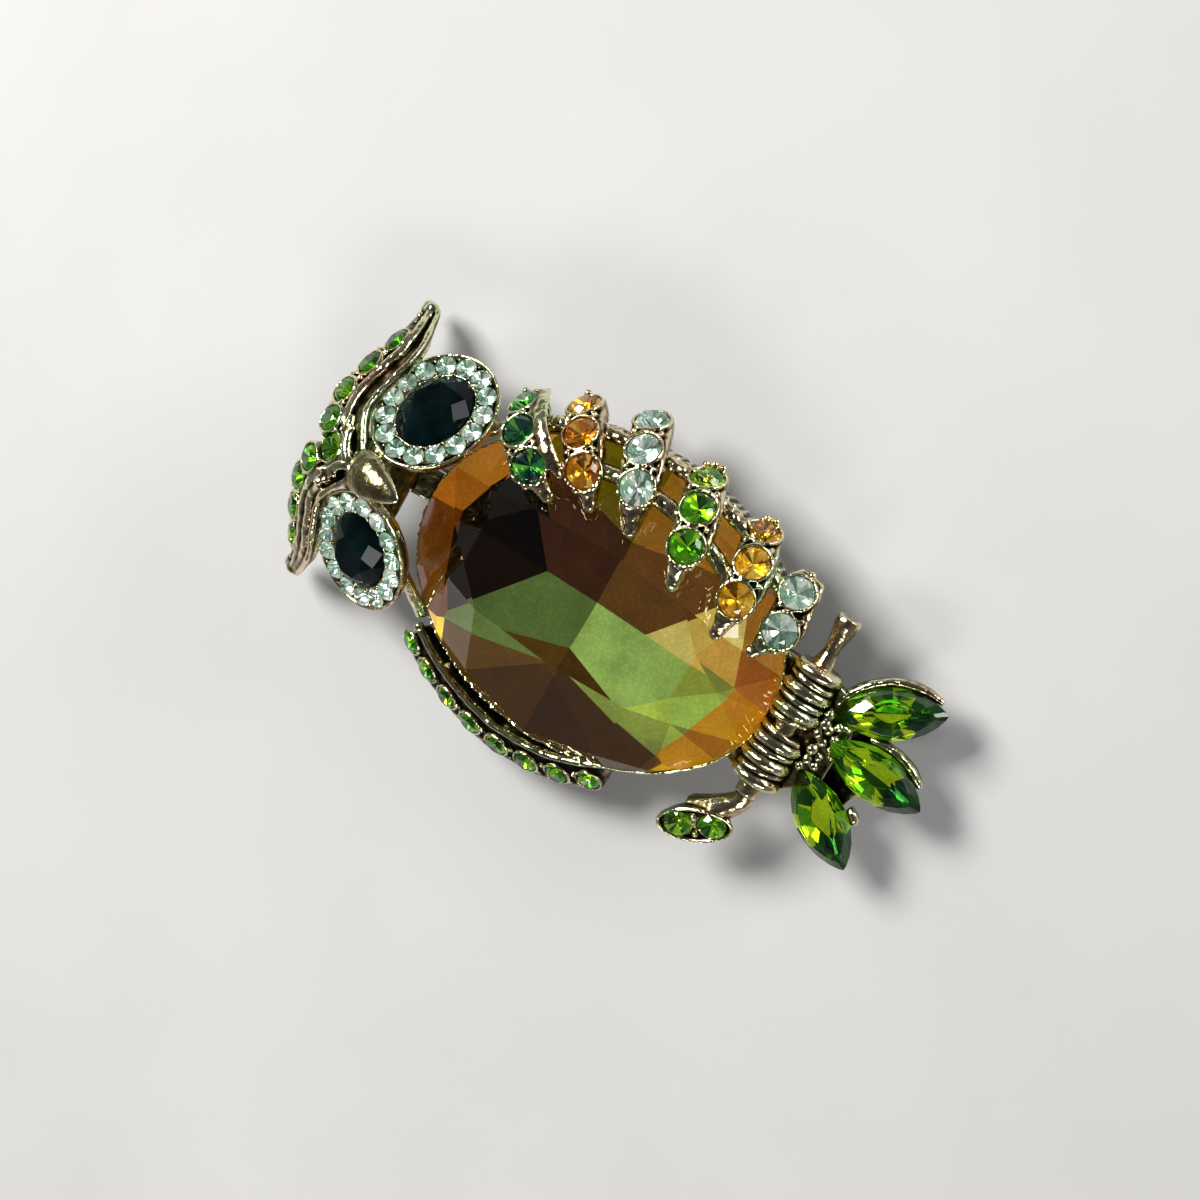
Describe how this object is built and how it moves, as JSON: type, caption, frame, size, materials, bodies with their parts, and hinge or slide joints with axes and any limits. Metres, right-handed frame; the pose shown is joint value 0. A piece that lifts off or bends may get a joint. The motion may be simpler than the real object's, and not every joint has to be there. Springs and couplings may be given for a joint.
{
  "type": "owl brooch",
  "caption": "Owl-shaped brooch of cast antiqued metal: large faceted oval stone for the body, ringed oval eyes, stone-set brow, feathers, folded wing and tail, and a bar pin behind",
  "frame": {"origin": "under the middle of the owl's bounding box, on the surface that the brooch lies on", "axes": "+Y runs along the owl to its head, +Z points out of the owl's front, and +X points to the wing that has the six feathers"},
  "size_m": [0.0394, 0.071, 0.0173],
  "materials": {
    "antique_gold": "polished with dark antiquing in the recesses",
    "amber_glass": "clear amber, faceted, foiled behind",
    "black_glass": "black, faceted and polished",
    "pale_glass": "pale mint, faceted, foiled behind",
    "olive_glass": "olive green, faceted, foiled behind"
  },
  "bodies": {
    "root": {"metal": "antique_gold", "pin_back": "antique_gold", "body_stone": "amber_glass", "eye_stone_left": "black_glass", "eye_stone_right": "black_glass", "halo_left": "pale_glass", "halo_right": "pale_glass", "brow_stone_1": "olive_glass", "brow_stone_2": "olive_glass", "brow_stone_3": "olive_glass", "brow_stone_4": "olive_glass", "brow_stone_5": "olive_glass", "brow_stone_6": "olive_glass", "brow_stone_7": "olive_glass", "brow_stone_8": "olive_glass", "brow_stone_9": "olive_glass", "feather_1_stone_1": "olive_glass", "feather_1_stone_2": "olive_glass", "feather_1_stone_3": "olive_glass", "feather_2_stone_1": "amber_glass", "feather_2_stone_2": "amber_glass", "feather_2_stone_3": "amber_glass", "feather_3_stone_1": "pale_glass", "feather_3_stone_2": "pale_glass", "feather_3_stone_3": "pale_glass", "feather_4_stone_1": "olive_glass", "feather_4_stone_2": "olive_glass", "feather_4_stone_3": "olive_glass", "feather_5_stone_1": "amber_glass", "feather_5_stone_2": "amber_glass", "feather_5_stone_3": "amber_glass", "feather_6_stone_1": "pale_glass", "feather_6_stone_2": "pale_glass", "side_stones": "olive_glass", "cup_stone_1": "olive_glass", "cup_stone_2": "olive_glass", "tail_stone_left": "olive_glass", "tail_stone_middle": "olive_glass", "tail_stone_right": "olive_glass"}
  },
  "joints": []
}
